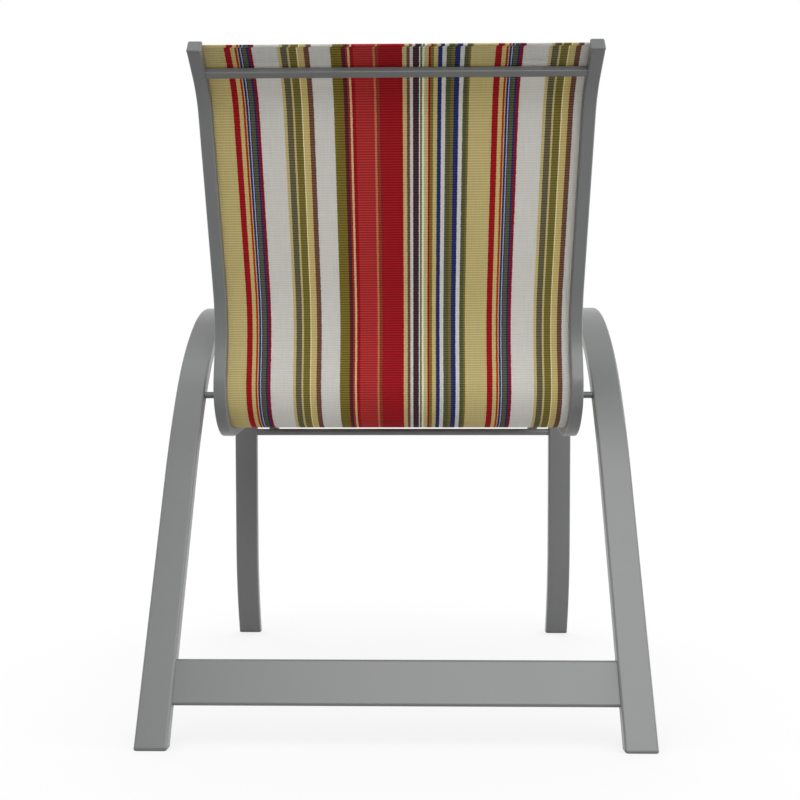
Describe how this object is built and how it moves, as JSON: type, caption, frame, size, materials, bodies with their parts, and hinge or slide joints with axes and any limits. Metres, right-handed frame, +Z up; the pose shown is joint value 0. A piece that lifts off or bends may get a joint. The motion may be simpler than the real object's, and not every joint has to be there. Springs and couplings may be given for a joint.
{
  "type": "sling patio chair",
  "caption": "Stacking patio armchair: flat-tube side frames carry bent sling rails, with a striped woven sling stretched between them as seat and back.",
  "frame": {"origin": "on the floor, under the middle of the chair's bounding box", "axes": "+Z up, +X to the sitter's left, and the sitter faces -Y, so +Y is the back"},
  "size_m": [0.6108, 0.7048, 0.8467],
  "materials": {
    "frame_paint": "satin grey powder coat on aluminium",
    "moulded_grey": "moulded grey nylon",
    "dark_nylon": "turned dark grey nylon",
    "zinc_steel": "bright zinc plate",
    "sling_cloth": "ribbed outdoor weave with many coloured stripes",
    "spline_nylon": "natural extruded rod"
  },
  "bodies": {
    "root": {"side_frame_left": "frame_paint", "side_frame_right": "frame_paint", "sling_rail_left": "frame_paint", "sling_rail_right": "frame_paint", "top_brace": "frame_paint", "front_stretcher": "frame_paint", "rear_stretcher": "frame_paint", "spacer_rear_left": "dark_nylon", "spacer_rear_right": "dark_nylon", "spacer_front_left": "dark_nylon", "spacer_front_right": "dark_nylon", "sling": "sling_cloth", "sling_spline_left": "spline_nylon", "sling_spline_right": "spline_nylon", "rail_cap_top_left": "moulded_grey", "rail_cap_top_right": "moulded_grey", "rail_cap_front_left": "moulded_grey", "rail_cap_front_right": "moulded_grey", "glide_rear_left": "moulded_grey", "glide_rear_right": "moulded_grey", "glide_front_left": "moulded_grey", "glide_front_right": "moulded_grey", "hole_plug_rear_left": "moulded_grey", "hole_plug_rear_right": "moulded_grey", "hole_plug_front_left": "moulded_grey", "hole_plug_front_right": "moulded_grey", "joint_bolt_rear_left": "zinc_steel", "joint_bolt_rear_right": "zinc_steel", "joint_bolt_front_left": "zinc_steel", "joint_bolt_front_right": "zinc_steel", "rail_nut_rear_left": "zinc_steel", "rail_nut_rear_right": "zinc_steel", "rail_nut_front_left": "zinc_steel", "rail_nut_front_right": "zinc_steel", "brace_plug_left": "zinc_steel", "brace_plug_right": "zinc_steel", "brace_screw_left": "zinc_steel", "brace_screw_right": "zinc_steel"}
  },
  "joints": []
}
